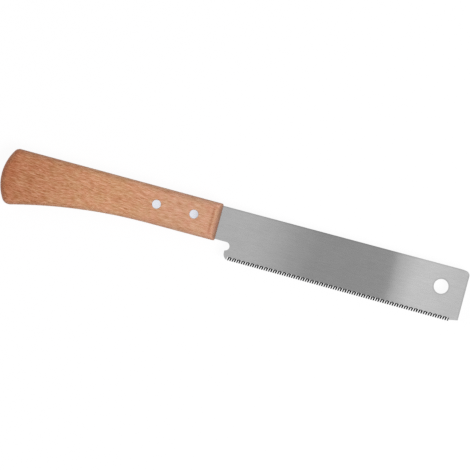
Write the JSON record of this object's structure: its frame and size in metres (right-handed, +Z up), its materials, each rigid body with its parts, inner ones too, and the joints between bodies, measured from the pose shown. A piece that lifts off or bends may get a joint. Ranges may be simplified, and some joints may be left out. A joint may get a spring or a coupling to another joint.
{
  "type": "flush cut saw",
  "caption": "Flush cut pull saw: thin straight fine-toothed steel blade with a hanging hole, its tang riveted into the slot of a flared one-piece wooden handle.",
  "frame": {"origin": "middle of the saw's box in plan, on the ground under it, with the saw lying on its side", "axes": "+X from the butt of the handle to the tip of the blade, +Y from the teeth to the spine, +Z up, through the thickness"},
  "size_m": [0.2998, 0.0354, 0.018],
  "materials": {
    "beech": "oiled beech with a fine fleck, darker at the butt",
    "steel": "satin, brushed along the blade, with dark hardened teeth",
    "rivet": "satin"
  },
  "bodies": {
    "root": {"handle": "beech", "saw_blade": "steel", "front_rivet_socket": "rivet", "front_rivet_post": "rivet", "rear_rivet_socket": "rivet", "rear_rivet_post": "rivet"}
  },
  "joints": []
}
